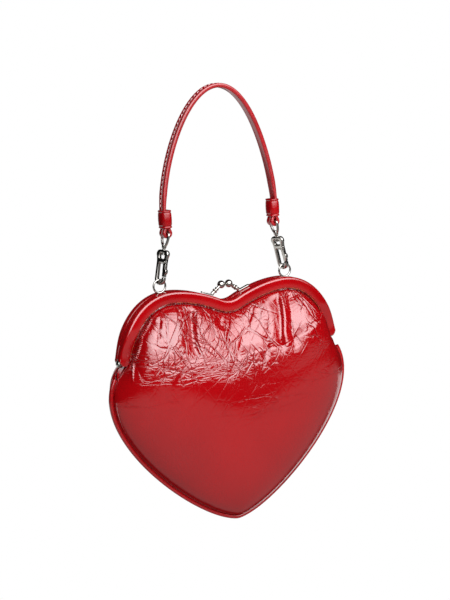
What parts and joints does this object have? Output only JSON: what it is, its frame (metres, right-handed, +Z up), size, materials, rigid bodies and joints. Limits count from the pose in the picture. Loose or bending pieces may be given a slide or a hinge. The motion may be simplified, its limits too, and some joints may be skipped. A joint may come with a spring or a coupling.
{
  "type": "heart-shaped frame handbag",
  "caption": "Heart-shaped kiss-lock frame handbag in red patent leather, with a short strap handle clipped to rings on the frame by swivel snap hooks.",
  "frame": {"origin": "middle of the strap's underside at the top of the handle, where a hand or a hook holds it", "axes": "+Z up along the hanging bag, +X to the wearer's right seen from the front, +Y to the back"},
  "size_m": [0.209, 0.0614, 0.3415],
  "materials": {
    "red_leather": "crinkled glossy patent",
    "strap_leather": "smooth semi-gloss",
    "silver_metal": "polished",
    "lining_cloth": "matt twill",
    "paper_cord": "twisted paper"
  },
  "bodies": {
    "handle": {"handle_strap": "strap_leather", "strap_keeper_left": "strap_leather", "strap_keeper_right": "strap_leather", "swivel_eye_left": "silver_metal", "swivel_eye_right": "silver_metal"},
    "bag": {"frame_channel_back": "silver_metal", "frame_cover_back": "red_leather", "packing_cord_back": "paper_cord", "hinge_rivet_left": "silver_metal", "hinge_rivet_right": "silver_metal", "lock_arm_back": "silver_metal", "lock_ball_back": "silver_metal", "handle_ring_left": "silver_metal", "handle_ring_right": "silver_metal", "back_panel": "red_leather", "back_lining": "lining_cloth", "front_panel_lower": "red_leather", "front_lining_lower": "lining_cloth", "piping": "red_leather"},
    "front_frame": {"frame_channel_front": "silver_metal", "frame_cover_front": "red_leather", "packing_cord_front": "paper_cord", "lock_arm_front": "silver_metal", "lock_ball_front": "silver_metal", "front_panel_upper": "red_leather", "front_lining_upper": "lining_cloth"},
    "left_hook": {"hook_body_left": "silver_metal", "gate_pin_left": "silver_metal", "gate_spring_left": "silver_metal"},
    "left_gate": {"hook_gate_left": "silver_metal"},
    "right_hook": {"hook_body_right": "silver_metal", "gate_pin_right": "silver_metal", "gate_spring_right": "silver_metal"},
    "right_gate": {"hook_gate_right": "silver_metal"}
  },
  "joints": [
    {"name": "bag_swing", "type": "hinge", "parent": "handle", "child": "bag", "pos_m": [0, 0.006, -0.1424], "axis": [1, 0, 0], "range_deg": [-45, 45]},
    {"name": "frame_open", "type": "hinge", "parent": "bag", "child": "front_frame", "pos_m": [0, 0.0038, -0.2019], "axis": [1, 0, 0], "range_deg": [0, 60]},
    {"name": "left_hook_swivel", "type": "hinge", "parent": "handle", "child": "left_hook", "pos_m": [-0.0552, 0.006, -0.1473], "axis": [0.1994, 0, 0.9799], "range_deg": [-35, 4]},
    {"name": "right_hook_swivel", "type": "hinge", "parent": "handle", "child": "right_hook", "pos_m": [0.0552, 0.006, -0.1473], "axis": [-0.1994, 0, 0.9799], "range_deg": [-35, 4]},
    {"name": "left_gate_pivot", "type": "hinge", "parent": "left_hook", "child": "left_gate", "pos_m": [-0.0503, 0.00253, -0.12886], "axis": [0.932, 0.309, -0.1896], "range_deg": [0, 20], "stiffness_Nm_per_rad": 0.05, "springref_deg": -11.46, "deforming": ["gate_spring_left"]},
    {"name": "right_gate_pivot", "type": "hinge", "parent": "right_hook", "child": "right_gate", "pos_m": [0.05251, 0.00253, -0.12841], "axis": [0.932, 0.309, 0.1896], "range_deg": [0, 20], "stiffness_Nm_per_rad": 0.05, "springref_deg": -11.46, "deforming": ["gate_spring_right"]}
  ]
}
